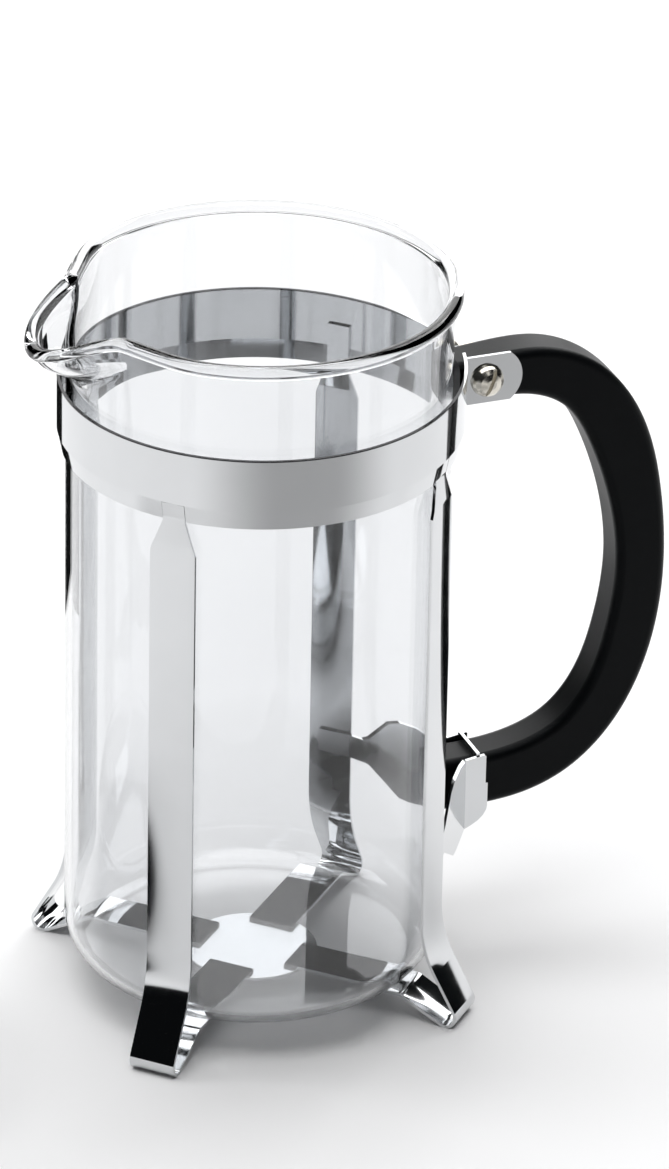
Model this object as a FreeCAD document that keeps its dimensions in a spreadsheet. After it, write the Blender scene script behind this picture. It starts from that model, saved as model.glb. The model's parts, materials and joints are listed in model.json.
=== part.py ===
import FreeCAD, Part
import math
import os
import Sketcher

# French press: frame, beaker, and the lid and plunger set aside on the table.
# Millimetres. Origin: the press's axis on the table. +Z up, handle towards +X,
# spout towards -X. The lid and plunger stand at -X, on their own filter.

DOC = FreeCAD.newDocument("french_press")
VEC = FreeCAD.Vector

SIZES = {
    # beaker
    "glass_radius": 48.5,
    "glass_wall": 1.8,
    "glass_underside": 7.0,
    "glass_top": 196.5,
    "glass_corner": 12.0,
    "rim_bead": 1.9,
    "spout_base": 174.0,
    "spout_reach": 10.7,
    "spout_half_angle": 23.0,
    # frame band
    "band_radius": 50.7,
    "band_sheet": 0.8,
    "band_top": 171.7,
    "band_bevel_top": 157.6,
    "band_bottom": 152.7,
    "band_bevel_in": 1.0,
    "band_join_angle": 50.0,
    "band_end_radius": 61.5,
    "ear_inside": 6.1,
    "ear_sheet": 0.9,
    "ear_low": 157.3,
    "ear_high": 170.3,
    "ear_back_high": 167.2,
    "ear_reach": 68.2,
    # legs
    "leg_sheet": 0.8,
    "leg_width": 12.2,
    "leg_face": 50.6,
    "tongue_face": 49.85,
    "tongue_half": 3.0,
    "tongue_top": 164.0,
    "foot_reach": 60.5,
    "foot_bend": 3.2,
    "flare_height": 21.5,
    "flare_round": 30.0,
    "return_kink": 44.8,
    "return_end": 12.0,
    "base_plate_radius": 17.0,
    # handle and its fixings
    "handle_width": 12.0,
    "handle_round": 2.2,
    "bolt_x": 58.6,
    "bolt_z": 163.6,
    "bolt_radius": 2.0,
    "bolt_head_radius": 4.4,
    "bolt_slot_lean": 21.0,
    "bolt_head_rise": 3.4,
    "bracket_sheet": 0.9,
    "bracket_half": 7.1,
    "bridge_x": 59.3,
    "bridge_low": 43.0,
    "bridge_high": 56.4,
    # lid and plunger
    "plunger_aside": 135.0,
    "rod_radius": 2.5,
    "rod_top": 222.0,
    "knob_low": 210.0,
    "knob_radius": 15.0,
    "filter_radius": 46.4,
    "coil_radius": 1.6,
    "plate_sheet": 0.8,
    "lid_seat": 16.8,
    "lid_radius": 52.4,
    "lid_sheet": 0.7,
    "lid_rise": 19.0,
    "strainer_radius": 46.0,
    "bush_radius": 4.0,
    "running_gap": 0.05,
}


def make_sheet():
    sheet = DOC.addObject("Spreadsheet::Sheet", "Sizes")
    for row, (alias, value) in enumerate(SIZES.items(), start=1):
        sheet.set("A%d" % row, alias)
        sheet.set("B%d" % row, str(value))
        sheet.setAlias("B%d" % row, alias)
    DOC.recompute()
    return sheet


SHEET = make_sheet()


def size(alias):
    return float(SHEET.get(alias))


def bind(obj, prop, formula):
    """Bind a property to a formula in which every known alias is a sheet cell."""
    words = []
    word = ""
    for char in formula + " ":
        if char.isalnum() or char == "_":
            word += char
            continue
        words.append("Sizes." + word if word in SIZES else word)
        words.append(char)
        word = ""
    obj.setExpression(prop, "".join(words).strip())


# ---------------------------------------------------------------- sketch tools

def new_body(label):
    body = DOC.addObject("PartDesign::Body", label)
    body.Label = label
    return body


def origin_plane(body, role):
    for feature in body.Origin.OriginFeatures:
        if feature.Role == role:
            return feature
    raise ValueError("no plane " + role)


def new_sketch(body, name, role, lift=None):
    sketch = body.newObject("Sketcher::SketchObject", name)
    sketch.AttachmentSupport = [(origin_plane(body, role), "")]
    sketch.MapMode = "FlatFace"
    if lift is not None:
        bind(sketch, "AttachmentOffset.Base.z", lift)
    return sketch


def flat(x, y):
    return VEC(x, y, 0)


def polygon(sketch, points):
    first = sketch.GeometryCount
    count = len(points)
    for i in range(count):
        start = flat(*points[i])
        end = flat(*points[(i + 1) % count])
        sketch.addGeometry(Part.LineSegment(start, end), False)
    for i in range(count):
        following = first + (i + 1) % count
        sketch.addConstraint(Sketcher.Constraint("Coincident", first + i, 2, following, 1))


def circle(sketch, x, y, radius_formula):
    index = sketch.addGeometry(Part.Circle(flat(x, y), VEC(0, 0, 1), 1.0), False)
    name = "radius_%d" % index
    constraint = sketch.addConstraint(Sketcher.Constraint("Radius", index, 1.0))
    sketch.renameConstraint(constraint, name)
    bind(sketch, "Constraints." + name, radius_formula)


def rounded_path(points, radii):
    """Lines through the points with an arc at each inner corner."""
    pieces = []
    start = flat(*points[0])
    for i in range(1, len(points) - 1):
        corner = flat(*points[i])
        back = (flat(*points[i - 1]) - corner).normalize()
        ahead = (flat(*points[i + 1]) - corner).normalize()
        half = back.getAngle(ahead) / 2.0
        trim = radii[i - 1] / math.tan(half)
        entry = corner + back * trim
        leave = corner + ahead * trim
        inward = (back + ahead).normalize()
        middle = corner + inward * (radii[i - 1] / math.sin(half) - radii[i - 1])
        pieces.append(Part.LineSegment(start, entry))
        pieces.append(Part.Arc(entry, middle, leave))
        start = leave
    pieces.append(Part.LineSegment(start, flat(*points[-1])))
    return pieces


def pad(body, name, sketch, length, midplane=False, reverse=False):
    feature = body.newObject("PartDesign::Pad", name)
    feature.Profile = sketch
    bind(feature, "Length", length)
    feature.Midplane = midplane
    feature.Reversed = reverse
    sketch.Visibility = False
    return feature


def pocket(body, name, sketch, length, midplane=False, reverse=False):
    feature = body.newObject("PartDesign::Pocket", name)
    feature.Profile = sketch
    bind(feature, "Length", length)
    feature.Midplane = midplane
    feature.Reversed = reverse
    sketch.Visibility = False
    return feature


def revolution(body, name, points, arcs=()):
    """Turn a closed (radius, height) outline about the body's Z axis."""
    sketch = new_sketch(body, name + "_outline", "XZ_Plane")
    if arcs:
        for piece in arcs:
            sketch.addGeometry(piece, False)
    else:
        polygon(sketch, points)
    feature = body.newObject("PartDesign::Revolution", name)
    feature.Profile = sketch
    feature.ReferenceAxis = (sketch, ["V_Axis"])
    feature.Angle = 360.0
    sketch.Visibility = False
    return feature


def arc_points(centre, radius, start, end, count):
    """Points on an arc, angles in degrees."""
    points = []
    for i in range(count):
        angle = math.radians(start + (end - start) * i / (count - 1))
        points.append((centre[0] + radius * math.cos(angle), centre[1] + radius * math.sin(angle)))
    return points


def turned(label, points, x="0", z="0", arcs=()):
    body = new_body(label)
    revolution(body, label + "_turn", points, arcs)
    bind(body, "Placement.Base.x", x)
    bind(body, "Placement.Base.z", z)
    return body


ASIDE = "-plunger_aside"
NODES = []


def keep(obj):
    NODES.append(obj)
    return obj


# ---------------------------------------------------------------------- beaker

def beaker_outline(offset, low, high):
    """Half outline of the beaker's wall, moved inwards by offset, as edges."""
    radius = size("glass_radius") - offset
    corner = size("glass_corner") - offset
    turn = math.sqrt(0.5)
    entry = flat(radius - corner, low)
    leave = flat(radius, low + corner)
    middle = flat(radius - corner + corner * turn, low + corner - corner * turn)
    return [
        Part.LineSegment(flat(0, high), flat(0, low)),
        Part.LineSegment(flat(0, low), entry),
        Part.Arc(entry, middle, leave),
        Part.LineSegment(leave, flat(radius, high)),
        Part.LineSegment(flat(radius, high), flat(0, high)),
    ]


def spout_section(height, reach, offset):
    """Closed curve just inside a wall face at one height, drawn out towards -X."""
    inside = 0.6
    radius = size("glass_radius") - offset - inside
    reach = reach + inside
    half_angle = size("spout_half_angle")
    steps = 96
    points = []
    for i in range(steps):
        angle = 360.0 * i / steps
        away = abs(angle - 180.0) / half_angle
        swell = math.cos(away * math.pi / 2.0) ** 1.25 if away < 1.0 else 0.0
        distance = radius + reach * swell
        around = math.radians(angle)
        points.append(VEC(distance * math.cos(around), distance * math.sin(around), height))
    curve = Part.BSplineCurve()
    curve.interpolate(points, PeriodicFlag=True)
    return Part.Wire([curve.toShape()])


def spout_solid(name, offset):
    base = size("spout_base")
    reach = size("spout_reach")
    rise = [0.0, 3.5, 6.0, 8.5, 12.0, 16.0, 22.0]
    share = [0.0, 0.17, 0.5, 0.82, 0.97, 1.0, 0.97]
    wires = []
    for up, part in zip(rise, share):
        raised = offset * 0.6 * min(1.0, up / 6.0)
        wires.append(spout_section(base + up + raised, reach * part, offset))
    feature = DOC.addObject("Part::Feature", name)
    feature.Shape = Part.makeLoft(wires, True, False)
    return feature


def make_beaker():
    wall = new_body("beaker_wall")
    edge = size("glass_top") - size("rim_bead")
    revolution(wall, "beaker_wall_turn", [], beaker_outline(0.0, size("glass_underside"), edge))
    bead = DOC.addObject("Part::Torus", "beaker_bead")
    bind(bead, "Radius1", "glass_radius + 0.2")
    bind(bead, "Radius2", "rim_bead")
    bind(bead, "Placement.Base.z", "glass_top - rim_bead")
    hollow = new_body("beaker_hollow")
    floor = size("glass_underside") + size("glass_wall")
    above = size("glass_top") + 5.0
    revolution(hollow, "beaker_hollow_turn", [], beaker_outline(size("glass_wall"), floor, above))
    spout_out = spout_solid("spout_outside", 0.0)
    spout_in = spout_solid("spout_inside", size("glass_wall"))
    outside = DOC.addObject("Part::MultiFuse", "beaker_outside")
    outside.Shapes = [wall, bead, spout_out]
    inside = DOC.addObject("Part::MultiFuse", "beaker_inside")
    inside.Shapes = [hollow, spout_in]
    shell = DOC.addObject("Part::Cut", "beaker_shell")
    shell.Base = outside
    shell.Tool = inside
    # The lip falls from the rim to the tip of the spout.
    lip = new_body("beaker_lip")
    outline = new_sketch(lip, "lip_outline", "XZ_Plane")
    top = size("glass_top")
    reach = -size("glass_radius") - size("spout_reach")
    fall = Part.BSplineCurve()
    drop = [(-34.0, top + 0.8), (-45.0, top - 0.4), (-53.0, top - 4.0), (reach - 4.0, top - 8.0)]
    fall.interpolate([flat(*point) for point in drop])
    outline.addGeometry(fall, False)
    polygon_points = [drop[-1], (reach - 4.0, top + 12.0), (-34.0, top + 12.0), drop[0]]
    for start, end in zip(polygon_points, polygon_points[1:]):
        outline.addGeometry(Part.LineSegment(flat(*start), flat(*end)), False)
    pad(lip, "lip_pad", outline, "120", midplane=True)
    beaker = DOC.addObject("Part::Cut", "beaker")
    beaker.Base = shell
    beaker.Tool = lip
    return keep(beaker)


# ------------------------------------------------------------------ frame band

def band_end_centre():
    """Centre of the wider arc that leads to the ear on the +Y side."""
    spread = size("band_end_radius") - size("band_radius")
    join = math.radians(size("band_join_angle"))
    return VEC(-spread * math.cos(join), -spread * math.sin(join), 0)


def band_tip(inset):
    """Where the band's wide arc, moved in by inset, reaches the ear's inner face."""
    centre = band_end_centre()
    wide = size("band_end_radius") - inset
    rise = size("ear_inside") - centre.y
    return VEC(centre.x + math.sqrt(wide ** 2 - rise ** 2), size("ear_inside"), 0)


def mirrored(point):
    return VEC(point.x, -point.y, 0)


def band_edges(shift):
    """C-shaped outline of the band's sheet, its outer face moved in by shift."""
    join = math.radians(size("band_join_angle"))
    centre = band_end_centre()
    edges = []
    tips = []
    for inset in (shift, shift + size("band_sheet")):
        radius = size("band_radius") - inset
        wide = size("band_end_radius") - inset
        touch = VEC(radius * math.cos(join), radius * math.sin(join), 0)
        tip = band_tip(inset)
        turned_to = math.atan2(tip.y - centre.y, tip.x - centre.x)
        halfway = (join + turned_to) / 2.0
        middle = centre + VEC(wide * math.cos(halfway), wide * math.sin(halfway), 0)
        edges.append(Part.Arc(tip, middle, touch))
        edges.append(Part.Arc(touch, VEC(-radius, 0, 0), mirrored(touch)))
        edges.append(Part.Arc(mirrored(touch), mirrored(middle), mirrored(tip)))
        tips.append(tip)
    edges.append(Part.LineSegment(tips[0], tips[1]))
    edges.append(Part.LineSegment(mirrored(tips[0]), mirrored(tips[1])))
    return edges


def band_sketch(body, name, lift, shift):
    sketch = new_sketch(body, name, "XY_Plane", lift)
    for edge in band_edges(shift):
        sketch.addGeometry(edge, False)
    return sketch


def make_band():
    body = new_body("frame_band")
    upper = band_sketch(body, "band_upper", "band_bevel_top", 0.0)
    pad(body, "band_pad", upper, "band_top - band_bevel_top")
    joint = band_sketch(body, "band_joint", "band_bevel_top", 0.0)
    rolled = band_sketch(body, "band_rolled", "band_bottom", size("band_bevel_in"))
    DOC.recompute()
    bevel = body.newObject("PartDesign::AdditiveLoft", "band_bevel")
    bevel.Profile = joint
    bevel.Sections = [rolled]
    bevel.Ruled = True
    # Ears: the band's ends folded out beside the handle.
    root = band_tip(size("band_sheet")).x + 0.1
    reach = size("ear_reach")
    low = size("ear_low")
    for name, side in (("ear_front", 1), ("ear_back", -1)):
        lift = "ear_inside" if side > 0 else "-ear_inside"
        high = size("ear_high" if side > 0 else "ear_back_high")
        middle = (low + high) / 2.0
        ear = new_sketch(body, name, "XZ_Plane", lift)
        corner = 3.2
        ear.addGeometry(Part.LineSegment(flat(root, low), flat(reach - corner, low)), False)
        bottom = flat(reach - corner, low)
        top = flat(reach - corner, high)
        ear.addGeometry(Part.Arc(bottom, flat(reach, middle), top), False)
        ear.addGeometry(Part.LineSegment(top, flat(root, high)), False)
        ear.addGeometry(Part.LineSegment(flat(root, high), flat(root, low)), False)
        pad(body, name + "_pad", ear, "ear_sheet", reverse=side < 0)
    hole = new_sketch(body, "ear_holes", "XZ_Plane")
    circle(hole, size("bolt_x"), size("bolt_z"), "bolt_radius + 0.1")
    pocket(body, "ear_bore", hole, "30", midplane=True)
    # Notches in the rolled edge let the legs' tongues pass up inside.
    notch = new_sketch(body, "tongue_notch", "XY_Plane", "band_bottom - 1")
    half = size("tongue_half") + 0.1
    turn = math.sqrt(0.5)
    corners = [(46.0, -half), (53.0, -half), (53.0, half), (46.0, half)]
    polygon(notch, [(turn * (x - y), turn * (x + y)) for x, y in corners])
    first = pocket(body, "notch_cut", notch, "band_bevel_top - band_bottom + 1", reverse=True)
    body.Tip = first
    DOC.recompute()
    ring = body.newObject("PartDesign::PolarPattern", "notch_pattern")
    ring.Originals = [first]
    ring.Axis = (notch, ["N_Axis"])
    ring.Angle = 360.0
    ring.Occurrences = 4
    body.Tip = ring
    return keep(body)


# ------------------------------------------------------------------------ legs

def leg_path():
    """Centre line of a leg in its radial plane, tongue first, return last."""
    half = size("leg_sheet") / 2.0
    bend = size("foot_bend") - half
    centre = size("foot_reach") - size("foot_bend")
    face = size("leg_face") - half
    tongue = size("tongue_face") - half
    kink = size("return_kink")
    level = size("glass_underside") - half
    bottom = size("band_bottom")
    # The flare and the return both touch the foot's bend.
    run = centre - face
    drop = size("flare_height") - size("foot_bend")
    flare = math.atan2(run, drop) + math.asin(bend / math.hypot(run, drop))
    span = centre - kink
    climb = level - size("foot_bend")
    slope = math.asin(bend / math.hypot(span, climb)) + math.atan2(climb, span)
    touch_flare = flat(centre + bend * math.cos(flare), size("foot_bend") + bend * math.sin(flare))
    touch_return = flat(centre - bend * math.sin(slope), size("foot_bend") - bend * math.cos(slope))
    under = (flare - slope - math.pi / 2.0) / 2.0
    lowest = flat(centre + bend * math.cos(under), size("foot_bend") + bend * math.sin(under))
    upper = [(tongue, size("tongue_top")), (tongue, bottom + 0.5), (face, bottom - 6.5)]
    upper += [(face, size("flare_height")), (touch_flare.x, touch_flare.y)]
    lower = [(touch_return.x, touch_return.y), (kink, level), (size("return_end"), level)]
    pieces = rounded_path(upper, [4.0, 4.0, size("flare_round")])
    pieces.append(Part.Arc(touch_flare, lowest, touch_return))
    pieces += rounded_path(lower, [3.0])
    return pieces


def make_leg(label, angle):
    body = new_body(label)
    path = new_sketch(body, label + "_path", "XZ_Plane")
    for piece in leg_path():
        path.addGeometry(piece, False)
    section = new_sketch(body, label + "_section", "XY_Plane", "tongue_top")
    sheet = size("leg_sheet")
    outer = size("tongue_face")
    half = size("leg_width") / 2.0
    polygon(section, [(outer - sheet, -half), (outer, -half), (outer, half), (outer - sheet, half)])
    DOC.recompute()
    strip = body.newObject("PartDesign::AdditivePipe", label + "_strip")
    strip.Profile = section
    strip.Spine = (path, [""])
    strip.Transition = "Right corner"
    # The tongue is half as wide as the leg, with sloped shoulders.
    shoulders = new_sketch(body, label + "_shoulders", "YZ_Plane", "leg_face")
    narrow = size("tongue_half")
    neck = size("band_bottom") - 0.4
    top = size("tongue_top") + 1.0
    outline = [(half + 1.0, neck - 8.7), (half, neck - 8.2), (narrow, neck)]
    outline += [(narrow, top), (half + 1.0, top)]
    for side in (1, -1):
        polygon(shoulders, [(side * y, z) for y, z in outline])
    pocket(body, label + "_shoulder_cut", shoulders, "10", midplane=True)
    # A wedge fills the band's notch flush with its rolled edge.
    wedge = new_sketch(body, label + "_wedge", "XZ_Plane")
    behind = size("tongue_face") - sheet / 2.0
    low = size("band_bottom")
    high = size("band_bevel_top") - 0.05
    outer_low = size("band_radius") - size("band_bevel_in")
    outer_high = size("band_radius") - 0.05
    polygon(wedge, [(behind, low), (outer_low, low), (outer_high, high), (behind, high)])
    pad(body, label + "_wedge_pad", wedge, "tongue_half * 2", midplane=True)
    body.Placement = FreeCAD.Placement(VEC(0, 0, 0), FreeCAD.Rotation(VEC(0, 0, 1), angle))
    return keep(body)


def make_base_plate():
    body = new_body("base_plate")
    sketch = new_sketch(body, "base_plate_outline", "XY_Plane", "glass_underside - leg_sheet * 2")
    circle(sketch, 0, 0, "base_plate_radius")
    pad(body, "base_plate_pad", sketch, "leg_sheet")
    return keep(body)


# ---------------------------------------------------------------------- handle

def make_handle():
    body = new_body("handle")
    sketch = new_sketch(body, "handle_outline", "XZ_Plane")
    outer = [
        (51.6, 168.2), (63.6, 169.2), (76.0, 168.8), (91.7, 161.0), (102.4, 146.8),
        (109.0, 123.0), (110.4, 101.0), (105.6, 73.5), (97.1, 57.4), (85.0, 46.3),
        (71.6, 41.3), (60.0, 40.3), (50.6, 40.3),
    ]
    inner = [
        (50.6, 54.6), (62.0, 54.9), (71.6, 56.4), (82.0, 61.2), (89.6, 70.5),
        (94.6, 85.0), (97.0, 104.0), (94.2, 124.0), (88.6, 140.0), (80.5, 152.2),
        (69.0, 156.8), (60.0, 156.9), (51.6, 156.6),
    ]
    for outline in (outer, inner):
        curve = Part.BSplineCurve()
        curve.interpolate([flat(*point) for point in outline])
        sketch.addGeometry(curve, False)
    sketch.addGeometry(Part.LineSegment(flat(*outer[-1]), flat(*inner[0])), False)
    sketch.addGeometry(Part.LineSegment(flat(*inner[-1]), flat(*outer[0])), False)
    block = pad(body, "handle_pad", sketch, "handle_width", midplane=True)
    DOC.recompute()
    names = []
    half = size("handle_width") / 2.0
    for number, edge in enumerate(block.Shape.Edges, start=1):
        heights = [abs(vertex.Y) for vertex in edge.Vertexes]
        if edge.Length > 60.0 and min(heights) > half - 0.01:
            names.append("Edge%d" % number)
    fillet = body.newObject("PartDesign::Fillet", "handle_fillet")
    fillet.Base = (block, names)
    bind(fillet, "Radius", "handle_round")
    bore = new_sketch(body, "handle_bore_circle", "XZ_Plane")
    circle(bore, size("bolt_x"), size("bolt_z"), "bolt_radius + 0.1")
    pocket(body, "handle_bore", bore, "30", midplane=True)
    slot = new_sketch(body, "bridge_slot_outline", "XZ_Plane")
    left = size("bridge_x") - size("bracket_sheet") / 2.0 - 0.05
    right = size("bridge_x") + size("bracket_sheet") / 2.0 + 0.05
    low = size("bridge_low") - 0.1
    polygon(slot, [(left, low), (right, low), (right, 60.0), (left, 60.0)])
    pocket(body, "bridge_slot", slot, "30", midplane=True)
    return keep(body)


def ribbon(points, thickness):
    """Closed outline of a folded sheet whose one face follows the points."""
    line = [flat(*point) for point in points]
    normals = []
    for start, end in zip(line, line[1:]):
        along = (end - start).normalize()
        normals.append(VEC(-along.y, along.x, 0))
    shifted = []
    for i, point in enumerate(line):
        before = normals[max(i - 1, 0)]
        after = normals[min(i, len(normals) - 1)]
        mitre = before + after
        scale = 2.0 * thickness / mitre.dot(mitre)
        shifted.append(point + mitre * scale)
    outline = line + shifted[::-1]
    return [(point.x, point.y) for point in outline]


def make_bracket():
    """Clip round the handle's lower end; its two arms reach back to the legs."""
    body = new_body("handle_bracket")
    sheet = size("bracket_sheet")
    half = size("bracket_half")
    # The weld tab lies on the inner face of the leg; the arm runs to the cheek.
    turn = math.sqrt(0.5)
    tab_face = size("leg_face") - size("leg_sheet") - 0.02
    reach = size("leg_width") / 2.0
    tab_start = (turn * (tab_face - 3.0), -turn * (tab_face + 3.0))
    tab_end = (turn * (tab_face + reach), -turn * (tab_face - reach))
    arm = ribbon([tab_start, tab_end, (55.8, -half), (62.0, -half)], sheet)
    plan = new_sketch(body, "bracket_plan", "XY_Plane", "33")
    for side in (1, -1):
        polygon(plan, [(x, side * y) for x, y in arm])
    pad(body, "bracket_pad", plan, "bridge_high - 32")
    DOC.recompute()
    side_view = new_sketch(body, "bracket_trim", "XZ_Plane")
    above = [(30.0, 47.0), (41.5, 47.2), (42.6, 48.2), (46.2, 54.6), (48.4, 56.0)]
    above += [(52.1, 56.3), (55.8, 55.0), (61.0, 55.8), (61.4, 55.4), (61.4, 47.6)]
    above += [(64.0, 47.6), (64.0, 60.0), (30.0, 60.0)]
    below = [(30.0, 40.7), (42.4, 40.7), (48.5, 34.0), (50.5, 33.8), (55.8, 34.9)]
    below += [(57.5, 35.7), (59.4, 36.8), (60.9, 38.2), (61.8, 39.8), (62.1, 41.4)]
    below += [(64.0, 41.4), (64.0, 30.0), (30.0, 30.0)]
    polygon(side_view, above)
    polygon(side_view, below)
    pocket(body, "bracket_trim_cut", side_view, "120", midplane=True)
    DOC.recompute()
    cross = new_sketch(body, "bracket_bridge", "YZ_Plane", "bridge_x - bracket_sheet / 2")
    low = size("bridge_low")
    high = size("bridge_high")
    wide = half - sheet / 2.0
    polygon(cross, [(-wide, low), (wide, low), (wide, high), (-wide, high)])
    pad(body, "bridge_pad", cross, "bracket_sheet")
    return keep(body)


def make_bolt():
    """Domed, slotted bolt whose axis runs along Y through both ears."""
    body = new_body("handle_bolt")
    face = size("ear_inside") + size("ear_sheet")
    head = size("bolt_head_radius")
    rise = size("bolt_head_rise")
    shank = size("bolt_radius")
    outline = [(0, -face - 4.6), (shank, -face - 4.6), (shank, face), (head, face)]
    outline += [(head - 0.2, face + 1.0), (head * 0.85, face + rise * 0.58)]
    outline += [(head * 0.62, face + rise * 0.85), (head * 0.3, face + rise), (0, face + rise)]
    revolution(body, "bolt_turn", outline)
    slot = new_sketch(body, "bolt_slot", "XY_Plane", "ear_inside + ear_sheet + bolt_head_rise")
    lean = math.radians(size("bolt_slot_lean"))
    along = (math.sin(lean), math.cos(lean))
    corners = [(-6.0, -0.5), (6.0, -0.5), (6.0, 0.5), (-6.0, 0.5)]
    polygon(slot, [(u * along[0] + v * along[1], u * along[1] - v * along[0]) for u, v in corners])
    pocket(body, "bolt_slot_cut", slot, "1.7")
    bind(body, "Placement.Base.x", "bolt_x")
    bind(body, "Placement.Base.z", "bolt_z")
    body.Placement.Rotation = FreeCAD.Rotation(VEC(1, 0, 0), 90)
    return keep(body)


def make_nut():
    body = new_body("handle_nut")
    sketch = new_sketch(body, "nut_outline", "XZ_Plane", "-ear_inside - ear_sheet")
    x = size("bolt_x")
    z = size("bolt_z")
    corners = []
    for i in range(6):
        angle = math.radians(60.0 * i)
        corners.append((x + 4.04 * math.cos(angle), z + 4.04 * math.sin(angle)))
    polygon(sketch, corners)
    circle(sketch, x, z, "bolt_radius")
    pad(body, "nut_pad", sketch, "3.2", reverse=True)
    return keep(body)


# --------------------------------------------------------------- filter and rod

def holes_in(body, name, lift, depth, ring_radius, hole_formula, count):
    sketch = new_sketch(body, name, "XY_Plane", lift)
    circle(sketch, ring_radius, 0, hole_formula)
    first = pocket(body, name + "_cut", sketch, depth, reverse=True)
    body.Tip = first
    DOC.recompute()
    pattern = body.newObject("PartDesign::PolarPattern", name + "_pattern")
    pattern.Originals = [first]
    pattern.Axis = (sketch, ["N_Axis"])
    pattern.Angle = 360.0
    pattern.Occurrences = count
    body.Tip = pattern
    DOC.recompute()
    return pattern


def make_filter():
    sheet = size("plate_sheet")
    edge = size("filter_radius")
    rod = size("rod_radius")
    coil = size("coil_radius")
    # Cross plate: rim, hub with the rod's thread, four windows between the arms.
    cross = turned(
        "cross_plate",
        [(rod, 0), (edge - 3.0, 0), (edge - 3.0, sheet), (6.0, sheet), (6.0, 6.0), (rod, 6.0)],
        ASIDE,
    )
    window = new_sketch(cross, "cross_window", "XY_Plane", "-1")
    inner_low = math.degrees(math.asin(4.0 / 11.0))
    outer_low = math.degrees(math.asin(4.0 / 38.0))
    inside = arc_points((0, 0), 11.0, inner_low, 90.0 - inner_low, 3)
    outside = arc_points((0, 0), 38.0, outer_low, 90.0 - outer_low, 3)
    window.addGeometry(Part.Arc(flat(*inside[0]), flat(*inside[1]), flat(*inside[2])), False)
    window.addGeometry(Part.LineSegment(flat(*inside[2]), flat(*outside[2])), False)
    window.addGeometry(Part.Arc(flat(*outside[2]), flat(*outside[1]), flat(*outside[0])), False)
    window.addGeometry(Part.LineSegment(flat(*outside[0]), flat(*inside[0])), False)
    first = pocket(cross, "cross_window_cut", window, "3", reverse=True)
    cross.Tip = first
    DOC.recompute()
    around = cross.newObject("PartDesign::PolarPattern", "cross_windows")
    around.Originals = [first]
    around.Axis = (window, ["N_Axis"])
    around.Angle = 360.0
    around.Occurrences = 4
    cross.Tip = around
    keep(cross)
    # Mesh screen: a shallow dish with its edge turned up round the spring.
    wire = 0.25
    lift = sheet
    mesh = [(6.1, lift), (edge, lift), (edge, lift + 2.4 * coil), (edge - wire, lift + 2.4 * coil)]
    mesh += [(edge - wire, lift + wire), (6.1, lift + wire)]
    keep(turned("mesh_screen", mesh, ASIDE))
    # Spring coil laid round the edge inside the mesh.
    spring = DOC.addObject("Part::Torus", "spring_coil")
    bind(spring, "Radius1", "filter_radius - 0.25 - coil_radius")
    bind(spring, "Radius2", "coil_radius")
    bind(spring, "Placement.Base.x", ASIDE)
    bind(spring, "Placement.Base.z", "plate_sheet + 0.25 + coil_radius")
    keep(spring)
    # Spiral plate: presses the mesh down and holds the spring against its rim.
    bed = lift + wire
    side = edge - wire - 2.0 * coil
    plate = [(6.1, bed), (side, bed), (side, bed + 3.4), (side - sheet, bed + 3.4)]
    plate += [(side - sheet, bed + sheet), (6.1, bed + sheet)]
    spiral = turned("spiral_plate", plate, ASIDE)
    for ring, count in ((13.0, 8), (21.5, 14), (30.0, 20), (37.5, 26)):
        holes_in(spiral, "spiral_holes_%d" % count, "0", "10", ring, "2.2", count)
    keep(spiral)
    # Collar fixed on the rod, clamping the stack against the hub.
    top = bed + sheet
    collar = [(rod, 6.0), (6.2, 6.0), (6.2, top), (9.5, top), (9.5, 6.9), (5.0, 8.4), (rod, 8.4)]
    keep(turned("rod_collar", collar, ASIDE))
    rod_outline = [(0, 0.6), (rod - 0.3, 0.6), (rod, 1.0), (rod, size("rod_top") - 1.0)]
    rod_outline += [(rod - 0.6, size("rod_top")), (0, size("rod_top"))]
    keep(turned("plunger_rod", rod_outline, ASIDE))


def make_knob():
    rod = size("rod_radius")
    top = size("rod_top")
    low = size("knob_low")
    radius = size("knob_radius")
    insert = [(rod, low), (4.6, low), (4.6, low + 1.0), (4.0, low + 1.0), (4.0, top + 0.6), (0, top + 0.6)]
    insert += [(0, top + 0.05), (rod, top + 0.05)]
    keep(turned("knob_insert", insert, ASIDE))
    # Ball with a small foot round the insert.
    centre = low + 2.0 + math.sqrt(radius ** 2 - 7.0 ** 2)
    foot = flat(7.0, low + 2.0)
    crown = flat(0, centre + radius)
    pieces = [
        Part.LineSegment(flat(4.65, low + 0.4), flat(6.4, low + 0.4)),
        Part.LineSegment(flat(6.4, low + 0.4), foot),
        Part.Arc(foot, flat(radius, centre), crown),
        Part.LineSegment(crown, flat(0, top + 0.65)),
        Part.LineSegment(flat(0, top + 0.65), flat(4.65, top + 0.65)),
        Part.LineSegment(flat(4.65, top + 0.65), flat(4.65, low + 0.4)),
    ]
    keep(turned("knob", [], ASIDE, arcs=pieces))


# ------------------------------------------------------------------------- lid

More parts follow.
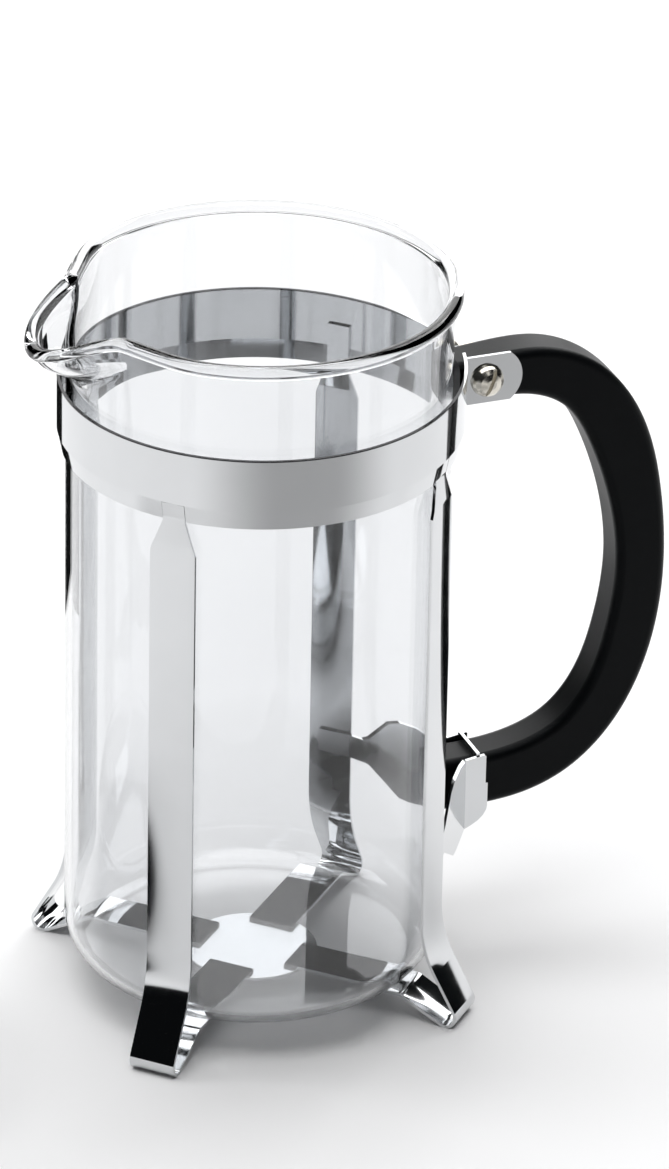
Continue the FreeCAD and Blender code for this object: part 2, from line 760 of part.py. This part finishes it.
def make_lid():
    """Lid parts drawn about their seat plane, where the beaker's rim meets them."""
    edge = size("lid_radius")
    sheet = size("lid_sheet")
    rise = size("lid_rise")
    bush = size("bush_radius")
    gap = size("running_gap")
    seat = "lid_seat"
    hole = bush + gap
    # Dome: skirt, rounded shoulder, shallow crown.
    shoulder = 5.0
    crown = flat(hole, rise)
    pieces = []
    for inset in (0.0, sheet):
        start = flat(edge - inset, -7.0)
        knee = flat(edge - inset, 2.0)
        bend = flat(edge - shoulder * 0.3 - inset * 0.75, 2.0 + shoulder * 0.72 - inset * 0.6)
        turn = flat(edge - shoulder - inset * 0.3, 2.0 + shoulder - inset)
        arch = flat(25.0, rise - 4.4 - inset)
        peak = flat(hole, rise - inset)
        pieces.append(Part.LineSegment(start, knee))
        pieces.append(Part.Arc(knee, bend, turn))
        pieces.append(Part.Arc(turn, arch, peak))
    pieces.append(Part.LineSegment(flat(edge, -7.0), flat(edge - sheet, -7.0)))
    pieces.append(Part.LineSegment(crown, flat(hole, rise - sheet)))
    keep(turned("lid_dome", [], ASIDE, seat, pieces))
    # Strainer: plate under the dome with a slotted ring that enters the beaker.
    ring = size("strainer_radius")
    wall = 0.9
    outline = [(hole, 0.1), (hole, 1.1), (edge - sheet - 0.1, 1.1), (edge - sheet - 0.1, 0.1), (ring, 0.1)]
    outline += [(ring, -11.8), (ring - wall, -11.8), (ring - wall, 0.1)]
    strainer = turned("lid_strainer", outline, ASIDE, seat)
    slot = new_sketch(strainer, "strainer_slot", "YZ_Plane", "strainer_radius - 3")
    polygon(slot, [(-1.1, -9.8), (1.1, -9.8), (1.1, -2.2), (-1.1, -2.2)])
    first = pocket(strainer, "strainer_slot_cut", slot, "6", reverse=True)
    strainer.Tip = first
    DOC.recompute()
    around = strainer.newObject("PartDesign::PolarPattern", "strainer_slots")
    around.Originals = [first]
    around.Axis = (origin_axis(strainer), [""])
    around.Angle = 360.0
    around.Occurrences = 36
    strainer.Tip = around
    keep(strainer)
    # Guide bush: runs on the rod, flanged above the dome.
    bore = size("rod_radius") + gap
    flange = rise + 0.1
    sleeve = [(bore, -5.0), (bush, -5.0), (bush, flange), (7.2, flange), (7.2, flange + 1.4)]
    sleeve += [(5.0, flange + 4.2), (bore, flange + 4.2)]
    keep(turned("lid_bush", sleeve, ASIDE, seat))
    nut = [(hole, -3.6), (7.6, -3.6), (7.6, -0.6), (6.8, 0.1), (hole, 0.1)]
    keep(turned("lid_nut", nut, ASIDE, seat))


def origin_axis(body):
    for feature in body.Origin.OriginFeatures:
        if feature.Role == "Z_Axis":
            return feature
    raise ValueError("no axis")


# ----------------------------------------------------------------------- build

def build():
    make_band()
    for label, angle in (
        ("leg_front_left", -135.0),
        ("leg_front_right", -45.0),
        ("leg_back_right", 45.0),
        ("leg_back_left", 135.0),
    ):
        make_leg(label, angle)
    make_base_plate()
    make_handle()
    make_bracket()
    make_bolt()
    make_nut()
    make_beaker()
    make_filter()
    make_knob()
    make_lid()
    DOC.recompute()


def check_all():
    for obj in DOC.Objects:
        if "Invalid" in obj.State or "Error" in obj.State:
            raise RuntimeError("%s: %s" % (obj.Label, obj.State))
    for obj in NODES:
        shape = obj.Shape
        if shape.isNull() or not shape.isValid() or not shape.Solids:
            raise RuntimeError(obj.Label + " has no valid solid")
        print("%-18s solids %d volume %9.1f" % (obj.Label, len(shape.Solids), shape.Volume))


def write_steps():
    os.makedirs("parts", exist_ok=True)
    for obj in NODES:
        obj.Shape.exportStep("parts/%s.step" % obj.Label)


build()
check_all()
write_steps()
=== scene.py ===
import json
import math

import bpy
from mathutils import Matrix, Vector


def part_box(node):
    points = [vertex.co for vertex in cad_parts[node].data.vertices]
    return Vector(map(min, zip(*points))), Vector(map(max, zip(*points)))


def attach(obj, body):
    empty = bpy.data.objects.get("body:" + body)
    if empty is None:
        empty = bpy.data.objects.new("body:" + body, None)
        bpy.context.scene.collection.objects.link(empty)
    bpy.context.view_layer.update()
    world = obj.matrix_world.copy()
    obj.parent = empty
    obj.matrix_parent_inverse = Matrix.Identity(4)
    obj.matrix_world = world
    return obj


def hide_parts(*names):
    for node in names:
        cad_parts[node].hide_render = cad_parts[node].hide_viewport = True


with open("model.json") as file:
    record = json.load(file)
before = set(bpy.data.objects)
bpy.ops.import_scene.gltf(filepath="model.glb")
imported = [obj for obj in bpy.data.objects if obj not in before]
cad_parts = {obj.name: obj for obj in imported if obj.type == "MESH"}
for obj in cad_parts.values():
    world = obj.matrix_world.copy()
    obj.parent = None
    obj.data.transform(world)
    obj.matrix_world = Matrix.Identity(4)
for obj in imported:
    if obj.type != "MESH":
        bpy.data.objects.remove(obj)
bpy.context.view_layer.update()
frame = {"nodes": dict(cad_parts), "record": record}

# French press looks. Metres; +Z up, +X towards the handle, -X towards the spout.

MM = 0.001
NODES = frame["nodes"]
BODY_OF = {
    name: body
    for body, names in frame["record"]["behaviour"]["bodies"].items()
    for name in names
}


def placed(name, data):
    """A new object for some data, linked into the scene."""
    obj = bpy.data.objects.new(name, data)
    bpy.context.scene.collection.objects.link(obj)
    return obj


# ------------------------------------------------------------- node materials


def new_material(name):
    material = bpy.data.materials.new(name)
    material.use_nodes = True
    tree = material.node_tree
    tree.nodes.clear()
    output = tree.nodes.new("ShaderNodeOutputMaterial")
    shader = tree.nodes.new("ShaderNodeBsdfPrincipled")
    tree.links.new(shader.outputs["BSDF"], output.inputs["Surface"])
    return material, tree, shader


def noise(tree, scale, detail=3.0, roughness=0.5, stretch=None):
    """A noise texture in object space; stretch squeezes it along each axis."""
    place = tree.nodes.new("ShaderNodeTexCoord")
    texture = tree.nodes.new("ShaderNodeTexNoise")
    texture.inputs["Scale"].default_value = scale
    texture.inputs["Detail"].default_value = detail
    texture.inputs["Roughness"].default_value = roughness
    source = place.outputs["Object"]
    if stretch is not None:
        mapping = tree.nodes.new("ShaderNodeMapping")
        mapping.inputs["Scale"].default_value = stretch
        tree.links.new(source, mapping.inputs["Vector"])
        source = mapping.outputs["Vector"]
    tree.links.new(source, texture.inputs["Vector"])
    return texture.outputs["Fac"]


def spread(tree, value, low, high):
    """Maps 0..1 onto low..high."""
    node = tree.nodes.new("ShaderNodeMapRange")
    node.inputs["To Min"].default_value = low
    node.inputs["To Max"].default_value = high
    tree.links.new(value, node.inputs["Value"])
    return node.outputs["Result"]


def place_axes(tree):
    """The separate X, Y and Z of a point in object space."""
    place = tree.nodes.new("ShaderNodeTexCoord")
    parts = tree.nodes.new("ShaderNodeSeparateXYZ")
    tree.links.new(place.outputs["Object"], parts.inputs["Vector"])
    return parts.outputs


def maths(tree, operation, first, second=None):
    """A math node; each input is a socket or a number."""
    node = tree.nodes.new("ShaderNodeMath")
    node.operation = operation
    for slot, value in enumerate((first, second)):
        if value is None:
            continue
        if isinstance(value, (int, float)):
            node.inputs[slot].default_value = value
        else:
            tree.links.new(value, node.inputs[slot])
    return node.outputs[0]


def off_axis(tree, axes):
    """Distance of a point from the Z axis."""
    squares = [maths(tree, "MULTIPLY", axes[name], axes[name]) for name in ("X", "Y")]
    return maths(tree, "SQRT", maths(tree, "ADD", *squares))


def ramp(tree, value, start, end, eased=False, top=1.0):
    """0 before start, top past end."""
    node = tree.nodes.new("ShaderNodeMapRange")
    if eased:
        node.interpolation_type = "SMOOTHSTEP"
    node.inputs["From Min"].default_value = start
    node.inputs["From Max"].default_value = end
    node.inputs["To Max"].default_value = top
    tree.links.new(value, node.inputs["Value"])
    return node.outputs["Result"]


def tint(tree, value, dark, light):
    node = tree.nodes.new("ShaderNodeMix")
    node.data_type = "RGBA"
    node.inputs["A"].default_value = (*dark, 1.0)
    node.inputs["B"].default_value = (*light, 1.0)
    tree.links.new(value, node.inputs["Factor"])
    return node.outputs["Result"]


def bump(tree, shader, height, distance, strength=1.0):
    node = tree.nodes.new("ShaderNodeBump")
    node.inputs["Distance"].default_value = distance
    node.inputs["Strength"].default_value = strength
    tree.links.new(height, node.inputs["Height"])
    tree.links.new(node.outputs["Normal"], shader.inputs["Normal"])


def polished_steel(name="polished_steel"):
    material, tree, shader = new_material(name)
    shader.inputs["Metallic"].default_value = 1.0
    cloud = noise(tree, 60.0, 4.0)
    colour = tint(tree, cloud, (0.63, 0.64, 0.65), (0.69, 0.70, 0.71))
    tree.links.new(colour, shader.inputs["Base Color"])
    smear = noise(tree, 220.0, 5.0, 0.6)
    tree.links.new(spread(tree, smear, 0.035, 0.10), shader.inputs["Roughness"])
    wave = noise(tree, 35.0, 2.0)
    bump(tree, shader, wave, 0.00006, 0.35)
    return material


def painted_gap_shade_steel(name="band_steel"):
    """Polished band with painted shade: its cut top edge is painted near-black on the side of the glass,
    standing in for the shade in the gap between band and glass.
    """
    material = polished_steel(name)
    tree = material.node_tree
    shader = next(node for node in tree.nodes if node.type == "BSDF_PRINCIPLED")
    axes = place_axes(tree)
    radius = off_axis(tree, axes)
    near_glass = ramp(tree, radius, BAND_INSIDE + 0.55 * MM, BAND_INSIDE + 0.40 * MM)
    on_top = ramp(tree, axes["Z"], BAND_TOP - 0.35 * MM, BAND_TOP - 0.25 * MM)
    # Mask of the painted shade: the inner part of the band's top edge, next to the glass.
    painted_gap_shade = maths(tree, "MULTIPLY", near_glass, on_top)
    gap_shade_mix = tree.nodes.new("ShaderNodeMix")
    gap_shade_mix.data_type = "RGBA"
    colours = [socket for socket in gap_shade_mix.inputs if socket.type == "RGBA"]
    tree.links.new(painted_gap_shade, gap_shade_mix.inputs[0])
    tree.links.new(shader.inputs["Base Color"].links[0].from_socket, colours[0])
    # Painted shade: near-black colour for the gap between band and glass, laid on the band's top edge.
    colours[1].default_value = (0.02, 0.02, 0.022, 1.0)
    colour = next(socket for socket in gap_shade_mix.outputs if socket.type == "RGBA")
    tree.links.new(colour, shader.inputs["Base Color"])
    return material


def crowned_steel(name="leg_steel"):
    """Polished strip that keeps the tube's curve across its width, strips on the diagonals."""
    material = polished_steel(name)
    tree = material.node_tree
    wave_bump = next(node for node in tree.nodes if node.type == "BUMP")
    axes = place_axes(tree)
    far_x = maths(tree, "ABSOLUTE", axes["X"])
    far_y = maths(tree, "ABSOLUTE", axes["Y"])
    across = maths(tree, "SUBTRACT", far_x, far_y)
    square = maths(tree, "MULTIPLY", across, across)
    fall = maths(tree, "MULTIPLY", square, -1.0 / (4.0 * LEG_CROWN))
    crown = tree.nodes.new("ShaderNodeBump")
    crown.inputs["Distance"].default_value = 1.0
    tree.links.new(fall, crown.inputs["Height"])
    tree.links.new(crown.outputs["Normal"], wave_bump.inputs["Normal"])
    return material


def satin_steel(name, dark, light, rough):
    material, tree, shader = new_material(name)
    shader.inputs["Metallic"].default_value = 1.0
    grain = noise(tree, 900.0, 4.0, 0.6, (1.0, 1.0, 0.08))
    tree.links.new(tint(tree, grain, dark, light), shader.inputs["Base Color"])
    tree.links.new(spread(tree, grain, rough - 0.06, rough + 0.08), shader.inputs["Roughness"])
    bump(tree, shader, grain, 0.00003, 0.3)
    return material


def black_plastic(name="black_plastic"):
    material, tree, shader = new_material(name)
    grain = noise(tree, 2600.0, 2.0)
    cloud = noise(tree, 90.0, 3.0)
    colour = tint(tree, cloud, (0.0015, 0.002, 0.0025), (0.004, 0.0045, 0.005))
    tree.links.new(colour, shader.inputs["Base Color"])
    tree.links.new(spread(tree, cloud, 0.34, 0.46), shader.inputs["Roughness"])
    shader.inputs["Specular IOR Level"].default_value = 0.25
    shader.inputs["Specular Tint"].default_value = (0.2, 0.21, 0.22, 1.0)
    bump(tree, shader, grain, 0.00004, 0.5)
    return material


def clear_glass(name="glass"):
    material, tree, shader = new_material(name)
    shader.inputs["Transmission Weight"].default_value = 1.0
    shader.inputs["IOR"].default_value = 1.47
    haze = noise(tree, 40.0, 3.0)
    colour = tint(tree, haze, (0.855, 0.862, 0.872), (0.880, 0.887, 0.895))
    tree.links.new(colour, shader.inputs["Base Color"])
    tree.links.new(spread(tree, haze, 0.0, 0.012), shader.inputs["Roughness"])
    return material


def woven_mesh(name="filter_mesh"):
    """Fine square weave: wires shaded from a wave pair, openings see-through."""
    material, tree, shader = new_material(name)
    shader.inputs["Metallic"].default_value = 1.0
    shader.inputs["Base Color"].default_value = (0.62, 0.63, 0.64, 1.0)
    axes = place_axes(tree)
    waves = []
    for axis in ("X", "Y"):
        turns = maths(tree, "MULTIPLY", axes[axis], 2.0 * math.pi / WEAVE_PITCH)
        waves.append(maths(tree, "SINE", turns))
    wires = maths(tree, "MAXIMUM", waves[0], waves[1])
    tree.links.new(spread(tree, wires, 0.45, 0.25), shader.inputs["Roughness"])
    bump(tree, shader, wires, 0.0001, 0.8)
    tree.links.new(maths(tree, "GREATER_THAN", wires, -0.35), shader.inputs["Alpha"])
    return material


WEAVE_PITCH = 0.55 * MM
LEG_CROWN = 50.7 * MM
BAND_INSIDE = 50.7 * MM
BAND_TOP = 171.7 * MM
STEEL = polished_steel()
LEG_STEEL = crowned_steel()
BAND_STEEL = painted_gap_shade_steel()
PLASTIC = black_plastic()
NICKEL = satin_steel("nickel", (0.60, 0.57, 0.50), (0.78, 0.75, 0.68), 0.22)
FILTER_STEEL = satin_steel("filter_steel", (0.58, 0.59, 0.60), (0.72, 0.73, 0.74), 0.24)
BRASS = satin_steel("brass", (0.70, 0.52, 0.22), (0.84, 0.68, 0.36), 0.26)
MESH = woven_mesh()
GLASS = clear_glass()

BY_SLOT = {
    "polished_steel": STEEL,
    "black_plastic": PLASTIC,
    "nickel": NICKEL,
    "filter_steel": FILTER_STEEL,
    "filter_mesh": MESH,
    "brass": BRASS,
    "glass": GLASS,
}


def dress(obj, material):
    obj.data.materials.clear()
    obj.data.materials.append(material)
    for face in obj.data.polygons:
        face.material_index = 0


slots = {entry["node"]: entry["material_slot"] for entry in frame["record"]["subparts"]}
OWN_STEEL = {name: LEG_STEEL for name in NODES if name.startswith("leg_")}
OWN_STEEL["frame_band"] = BAND_STEEL
for node_name, node in NODES.items():
    dress(node, OWN_STEEL.get(node_name, BY_SLOT[slots[node_name]]))

# ------------------------------------------------------------------ edge rounds

SHEET_EDGES = ("frame_band", "leg_front_left", "leg_front_right", "leg_back_right", "leg_back_left")
for node_name in SHEET_EDGES + ("base_plate", "handle_bracket", "handle_bolt", "handle_nut"):
    modifier = NODES[node_name].modifiers.new("edge_round", "BEVEL")
    modifier.width = (0.3 if node_name == "frame_band" else 0.18) * MM
    modifier.segments = 3
    modifier.limit_method = "ANGLE"
    modifier.angle_limit = math.radians(40.0)
    modifier.harden_normals = True

# ----------------------------------------------------------------------- beaker

glass_low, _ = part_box("beaker")
GLASS_RADIUS = 48.5 * MM
GLASS_WALL = 1.8 * MM
BEAD = 1.9 * MM
CORNER = 12.0 * MM
RIM_TOP = 196.5 * MM
UNDERSIDE = float(glass_low[2])
SPOUT_REACH = 10.7 * MM
SPOUT_HALF_ANGLE = math.radians(25.0)
SPOUT_FOOT_ANGLE = math.radians(10.0)
SPOUT_FOOT = 177.0 * MM
PINCH_ANGLE = math.radians(31.0)
PINCH_SPREAD = math.radians(24.0)
PINCH_DEPTH = 1.6 * MM
PINCH_BASE = 160.0 * MM
LIP_DROP = 8.0 * MM
LIP_HALF_ANGLE = math.radians(26.0)
SPOUT_BASE = 175.0 * MM
SPOUT_RISE = 5.4
SPOUT_SOFTNESS = 1.15
ROUND_STEPS = 360
CORNER_STEPS = 12
WALL_STEPS = 20
SPOUT_STEPS = 36
BEAD_STEPS = 14


def mix(a, b, t):
    return a + (b - a) * t


def smooth(t):
    t = min(max(t, 0.0), 1.0)
    return t * t * (3.0 - 2.0 * t)


def off_spout(angle):
    """Angle away from the spout's centre line."""
    return abs(math.atan2(math.sin(angle - math.pi), math.cos(angle - math.pi)))


def swell_at(angle, height):
    """The channel's spread: narrow at its foot, wide at the lip."""
    opened = smooth((height - SPOUT_FOOT) / (RIM_TOP - LIP_DROP - SPOUT_FOOT))
    away = off_spout(angle) / mix(SPOUT_FOOT_ANGLE, SPOUT_HALF_ANGLE, opened)
    return math.cos(away * math.pi / 2.0) ** 1.5 if away < 1.0 else 0.0


def pinch_at(angle):
    """The rim is drawn in on each side of the spout."""
    away = abs(off_spout(angle) - PINCH_ANGLE) / PINCH_SPREAD
    return PINCH_DEPTH * math.cos(away * math.pi / 2.0) ** 2 if away < 1.0 else 0.0


def wall_shift(angle, height):
    """How far the wall stands out of its plain circle."""
    drawn_in = smooth((height - PINCH_BASE) / (RIM_TOP - PINCH_BASE))
    return SPOUT_REACH * swell_at(angle, height) * spout_share(height) - pinch_at(angle) * drawn_in


def spout_share(height):
    """How far the spout has come out at a height, 0 at its base to 1 at the lip."""
    rise = (height - SPOUT_BASE) / MM
    if rise <= 0.0:
        return 0.0
    return 1.0 / (1.0 + math.exp(-(rise - SPOUT_RISE) / SPOUT_SOFTNESS)) * smooth(rise / 3.0)


def rim_height(angle):
    """Height of the rim's top: it dips to the spout's tip."""
    away = off_spout(angle) / LIP_HALF_ANGLE
    return RIM_TOP - LIP_DROP * math.cos(min(away, 1.0) * math.pi / 2.0) ** 2


def beaker_profile(angle):
    """Wall section at one angle: outside from the centre up, over the bead, inside down."""
    top = rim_height(angle)
    bead_centre = top - BEAD
    points = [(0.0, UNDERSIDE)]
    points += [(GLASS_RADIUS * part, UNDERSIDE) for part in (0.25, 0.5, 0.65)]
    for i in range(CORNER_STEPS + 1):
        turn = math.radians(-90.0 + 90.0 * i / CORNER_STEPS)
        radius = GLASS_RADIUS - CORNER + CORNER * math.cos(turn)
        points.append((radius, UNDERSIDE + CORNER + CORNER * math.sin(turn)))
    lower = UNDERSIDE + CORNER
    for i in range(1, WALL_STEPS + 1):
        points.append((GLASS_RADIUS, mix(lower, PINCH_BASE, i / WALL_STEPS)))
    start = PINCH_BASE
    end = bead_centre - 0.6 * BEAD
    for i in range(1, SPOUT_STEPS + 1):
        height = mix(start, end, i / SPOUT_STEPS)
        points.append((GLASS_RADIUS + wall_shift(angle, height), height))
    edge = GLASS_RADIUS + wall_shift(angle, bead_centre)
    centre = edge + 0.2 * MM
    for i in range(BEAD_STEPS + 1):
        turn = math.radians(-50.0 + 250.0 * i / BEAD_STEPS)
        points.append((centre + BEAD * math.cos(turn), bead_centre + BEAD * math.sin(turn)))
    inner = GLASS_RADIUS - GLASS_WALL
    inner_base = PINCH_BASE + 1.0 * MM
    for i in range(1, SPOUT_STEPS + 1):
        height = mix(end, inner_base, i / SPOUT_STEPS)
        points.append((inner + wall_shift(angle, height - 1.0 * MM), height))
    corner = CORNER - GLASS_WALL
    floor = UNDERSIDE + GLASS_WALL
    for i in range(1, WALL_STEPS + 1):
        points.append((inner, mix(inner_base, floor + corner, i / WALL_STEPS)))
    for i in range(1, CORNER_STEPS + 1):
        turn = math.radians(-90.0 * i / CORNER_STEPS)
        points.append((inner - corner + corner * math.cos(turn), floor + corner + corner * math.sin(turn)))
    points += [(inner * part, floor) for part in (0.65, 0.5, 0.25)]
    points.append((0.0, floor))
    return points


def turned_mesh(name, profile_at, steps):
    """Closed surface from a section for each angle; its first and last points lie on the axis."""
    mesh = bpy.data.meshes.new(name)
    sections = [profile_at(2.0 * math.pi * i / steps) for i in range(steps)]
    inner = len(sections[0]) - 2
    vertices = [(0.0, 0.0, sections[0][0][1]), (0.0, 0.0, sections[0][-1][1])]
    for i, section in enumerate(sections):
        angle = 2.0 * math.pi * i / steps
        for radius, height in section[1:-1]:
            vertices.append((radius * math.cos(angle), radius * math.sin(angle), height))
    faces = []
    for i in range(steps):
        here = 2 + i * inner
        there = 2 + ((i + 1) % steps) * inner
        faces.append((0, there, here))
        for j in range(inner - 1):
            faces.append((here + j, there + j, there + j + 1, here + j + 1))
        faces.append((here + inner - 1, there + inner - 1, 1))
    mesh.from_pydata(vertices, [], faces)
    mesh.update()
    for face in mesh.polygons:
        face.use_smooth = True
    return placed(name, mesh)


beaker_glass = turned_mesh("beaker_glass", beaker_profile, ROUND_STEPS)
dress(beaker_glass, GLASS)
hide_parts("beaker")
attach(beaker_glass, "beaker")

# ------------------------------------------------------------------ spring coil

coil_low, coil_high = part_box("spring_coil")
COIL_RADIUS = (coil_high[2] - coil_low[2]) / 2.0
COIL_CENTRE = [(low + high) / 2.0 for low, high in zip(coil_low, coil_high)]
COIL_RING = (coil_high[0] - coil_low[0]) / 2.0 - COIL_RADIUS
WIRE = 0.26 * MM
COIL_TURNS = 190
TURN_STEPS = 10


def spring_mesh():
    """Garter spring: a helix of wire bent round into a ring."""
    curve = bpy.data.curves.new("garter_spring", "CURVE")
    curve.dimensions = "3D"
    curve.bevel_depth = WIRE
    curve.bevel_resolution = 1
    curve.use_fill_caps = True
    spline = curve.splines.new("POLY")
    count = COIL_TURNS * TURN_STEPS
    spline.points.add(count - 1)
    wind = COIL_RADIUS - WIRE
    for i in range(count):
        around = 2.0 * math.pi * i / count
        twist = 2.0 * math.pi * i / TURN_STEPS
        reach = COIL_RING + wind * math.cos(twist)
        point = (
            COIL_CENTRE[0] + reach * math.cos(around),
            COIL_CENTRE[1] + reach * math.sin(around),
            COIL_CENTRE[2] + wind * math.sin(twist),
        )
        spline.points[i].co = (*point, 1.0)
    spline.use_cyclic_u = True
    holder = placed("garter_curve", curve)
    graph = bpy.context.evaluated_depsgraph_get()
    mesh = bpy.data.meshes.new_from_object(holder.evaluated_get(graph))
    bpy.data.objects.remove(holder)
    obj = placed("garter_spring", mesh)
    for face in mesh.polygons:
        face.use_smooth = True
    return obj


garter_spring = spring_mesh()
dress(garter_spring, FILTER_STEEL)
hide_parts("spring_coil")
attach(garter_spring, "plunger")

# The pieces set aside stay out of the press's mirror faces.
set_aside = [NODES[name] for name, body in BODY_OF.items() if body in ("plunger", "lid_guide", "lid")]
for piece in set_aside + [garter_spring]:
    piece.visible_glossy = False

# ----------------------------------------------------------------------- stage

floor_mesh = bpy.data.meshes.new("floor")
FLOOR_HALF = 6.0
corners = [
    (-FLOOR_HALF, -FLOOR_HALF, 0),
    (FLOOR_HALF, -FLOOR_HALF, 0),
    (FLOOR_HALF, FLOOR_HALF, 0),
    (-FLOOR_HALF, FLOOR_HALF, 0),
]
floor_mesh.from_pydata(corners, [], [(0, 1, 2, 3)])
floor = placed("floor", floor_mesh)
floor_material, floor_tree, floor_shader = new_material("floor_white")
floor_shader.inputs["Base Color"].default_value = (0.92, 0.92, 0.925, 1.0)
floor_shader.inputs["Roughness"].default_value = 0.9
floor_shader.inputs["Specular IOR Level"].default_value = 0.1
dress(floor, floor_material)

world = bpy.data.worlds.new("studio")
world.use_nodes = True
world.node_tree.nodes["Background"].inputs["Color"].default_value = (0.004, 0.0045, 0.005, 1.0)
world.node_tree.nodes["Background"].inputs["Strength"].default_value = 1.0
bpy.context.scene.world = world


def softbox(name, place, aim, width, height, power):
    light = bpy.data.lights.new(name, "AREA")
    light.shape = "RECTANGLE"
    light.size = width
    light.size_y = height
    light.energy = power
    obj = placed(name, light)
    obj.location = place
    obj.rotation_euler = (Vector(aim) - Vector(place)).to_track_quat("-Z", "Y").to_euler()


softbox("overhead", (-0.2, 0.1, 2.4), (0, 0, 0.05), 2.6, 2.4, 64.0)
softbox("key_left", (-1.6, 1.0, 1.7), (0, 0, 0.1), 0.8, 0.8, 8.0)
softbox("key_right", (1.5, 0.9, 1.7), (0, 0, 0.1), 0.9, 0.9, 12.0)
softbox("backdrop", (0.9, 2.6, 1.25), (0, 0, 0.12), 3.4, 1.9, 48.0)


def black_card(name, corners, place, turn, tone):
    """A card out of the camera's sight: it only darkens what mirrors or bends towards it."""
    mesh = bpy.data.meshes.new(name)
    mesh.from_pydata(corners, [], [(0, 1, 2, 3)])
    obj = placed(name, mesh)
    obj.location = place
    obj.rotation_euler = (0.0, 0.0, turn)
    material, tree, shader = new_material(name)
    shader.inputs["Base Color"].default_value = (tone, tone, tone, 1.0)
    shader.inputs["Specular IOR Level"].default_value = 0.0
    dress(obj, material)
    obj.visible_camera = False
    obj.visible_diffuse = False
    obj.visible_shadow = False
    return obj, tree, shader


def shade_card():
    """Soft dark sector on the floor before the press, seen only by what mirrors it."""
    corners = [
        (0, -SHADE_REACH, 0),
        (SHADE_REACH, -SHADE_REACH, 0),
        (SHADE_REACH, SHADE_REACH, 0),
        (0, SHADE_REACH, 0),
    ]
    obj, tree, shader = black_card("shade_card", corners, (0.0, 0.0, 0.5 * MM), SHADE_TURN, 0.005)
    obj.visible_transmission = False
    axes = place_axes(tree)
    turn = maths(tree, "ARCTAN2", axes["Y"], axes["X"])
    away = off_axis(tree, axes)
    shade = ramp(tree, turn, *SHADE_LEFT, True, SHADE_DEPTH)
    for value, (start, end) in ((turn, SHADE_RIGHT), (away, SHADE_NEAR), (away, SHADE_FAR)):
        shade = maths(tree, "MULTIPLY", shade, ramp(tree, value, start, end, True))
    tree.links.new(shade, shader.inputs["Alpha"])


FLAG_HALF = 42.5 * MM
FLAG_TOP = 0.25
flag_corners = [(-FLAG_HALF, 0, 0), (FLAG_HALF, 0, 0), (FLAG_HALF, 0, FLAG_TOP), (-FLAG_HALF, 0, FLAG_TOP)]
black_card("flag_left", flag_corners, (-0.045, 0.225, 0.0), math.radians(-20.7), 0.01)

# The sector's soft edges, each from clear to dark, turned from the way to the camera.
SHADE_TURN = math.radians(-110.7)
SHADE_LEFT = (math.radians(-38.0), math.radians(12.0))
SHADE_RIGHT = (math.radians(82.0), math.radians(40.0))
SHADE_NEAR = (0.12, 0.17)
SHADE_FAR = (0.48, 0.42)
SHADE_DEPTH = 0.52
SHADE_REACH = 0.5
shade_card()

# ---------------------------------------------------------------------- camera

CAMERA_DISTANCE = 2.0
CAMERA_ELEVATION = math.radians(27.64)
CAMERA_AZIMUTH = math.radians(-20.71)
CAMERA_ROLL = math.radians(1.11)
FOCAL_HEIGHTS = 6.734474
SENSOR_HEIGHT = 24.0
AIM_RIGHT = 19.80 * MM
AIM_UP = 15.43 * MM
AIM = Vector((0.0, 0.0, 95.0 * MM))

camera_data = bpy.data.cameras.new("camera")
camera_data.sensor_fit = "VERTICAL"
camera_data.sensor_height = SENSOR_HEIGHT
camera_data.lens = SENSOR_HEIGHT * FOCAL_HEIGHTS
camera_data.clip_start = 0.05
camera_data.clip_end = 50.0
camera_data.dof.use_dof = False
camera = placed("camera", camera_data)
outward = Vector((
    math.sin(CAMERA_AZIMUTH) * math.cos(CAMERA_ELEVATION),
    -math.cos(CAMERA_AZIMUTH) * math.cos(CAMERA_ELEVATION),
    math.sin(CAMERA_ELEVATION),
))
level_right = Vector((math.cos(CAMERA_AZIMUTH), math.sin(CAMERA_AZIMUTH), 0.0))
level_up = level_right.cross(-outward)
eye = AIM + outward * CAMERA_DISTANCE
target = AIM + level_right * AIM_RIGHT + level_up * AIM_UP
forward = (target - eye).normalized()
side = forward.cross(Vector((0, 0, 1))).normalized()
up = side.cross(forward)
right = side * math.cos(CAMERA_ROLL) + up * math.sin(CAMERA_ROLL)
top = up * math.cos(CAMERA_ROLL) - side * math.sin(CAMERA_ROLL)
turn = Matrix((right, top, -forward)).transposed()
camera.matrix_world = Matrix.Translation(eye) @ turn.to_4x4()
bpy.context.scene.camera = camera
bpy.context.scene.view_settings.view_transform = "Standard"
